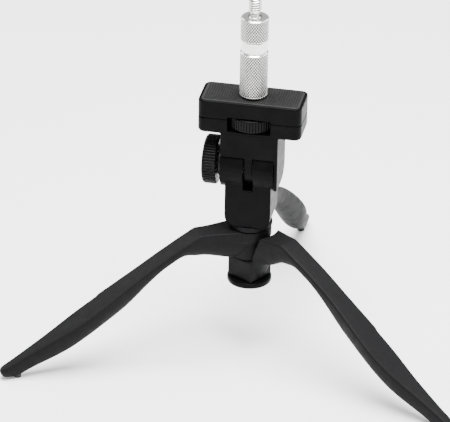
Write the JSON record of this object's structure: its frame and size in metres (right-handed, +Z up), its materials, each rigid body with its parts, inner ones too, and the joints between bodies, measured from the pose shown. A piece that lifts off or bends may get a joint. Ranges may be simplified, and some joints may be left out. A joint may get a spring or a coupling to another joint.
{
  "type": "tabletop tripod",
  "caption": "Black tabletop mini tripod with swivelling paddle legs, a tilting platform with thumbwheel, and a knurled metal spigot with a threaded stud on top.",
  "frame": {"origin": "middle of the footprint, on the surface that the feet stand on", "axes": "+Z up; -Y is the front, from which the tilt knob is on the left; +X runs along the tilt axis and the platform's long side; the fixed rear leg points to +Y"},
  "size_m": [0.23, 0.1997, 0.1945],
  "materials": {
    "black_plastic": "moulded black ABS, fine satin",
    "grained_plastic": "moulded black plastic with a fine grain",
    "rubber": "matt black rubber",
    "nylon": "natural nylon",
    "zinc_steel": "zinc plated steel",
    "bright_nickel": "bright nickel plate"
  },
  "bodies": {
    "root": {"post": "black_plastic", "leg_rear": "grained_plastic", "foot_rear": "rubber", "axle_screw": "zinc_steel", "axle_nut": "zinc_steel", "bottom_cap": "black_plastic", "spring_washer": "zinc_steel", "lower_disc": "nylon", "upper_disc": "nylon", "tilt_nut": "zinc_steel", "friction_disc_left": "nylon", "friction_disc_right": "nylon", "knob_washer": "zinc_steel"},
    "left_leg": {"leg_left": "grained_plastic", "foot_left": "rubber"},
    "right_leg": {"leg_right": "grained_plastic", "foot_right": "rubber"},
    "head": {"lower_shell": "black_plastic", "upper_shell": "black_plastic", "top_pad": "rubber", "shell_screw_1": "zinc_steel", "shell_screw_2": "zinc_steel", "shell_screw_3": "zinc_steel", "shell_screw_4": "zinc_steel"},
    "knob": {"tilt_knob": "black_plastic", "knob_cap": "black_plastic", "tilt_bolt": "zinc_steel"},
    "wheel": {"thumbwheel": "black_plastic", "platform_screw": "zinc_steel", "retaining_clip": "zinc_steel"},
    "adapter": {"adapter_body": "bright_nickel", "adapter_stud": "bright_nickel"}
  },
  "joints": [
    {"name": "leg_left_swivel", "type": "hinge", "parent": "root", "child": "left_leg", "pos_m": [0, -0.03232, 0.05975], "axis": [0, 0, 1], "range_deg": [-60, 0]},
    {"name": "leg_right_swivel", "type": "hinge", "parent": "root", "child": "right_leg", "pos_m": [0, -0.03232, 0.0453], "axis": [0, 0, 1], "range_deg": [0, 60]},
    {"name": "head_tilt", "type": "hinge", "parent": "root", "child": "head", "pos_m": [0, -0.03232, 0.103], "axis": [1, 0, 0], "range_deg": [-60, 60]},
    {"name": "tilt_knob_turn", "type": "hinge", "parent": "root", "child": "knob", "pos_m": [-0.02, -0.03232, 0.103], "axis": [-1, 0, 0], "continuous": true},
    {"name": "thumbwheel_spin", "type": "hinge", "parent": "head", "child": "wheel", "pos_m": [0, -0.03232, 0.1285], "axis": [0, 0, 1], "continuous": true},
    {"name": "adapter_spin", "type": "hinge", "parent": "head", "child": "adapter", "pos_m": [0, -0.03232, 0.153], "axis": [0, 0, 1], "continuous": true}
  ]
}
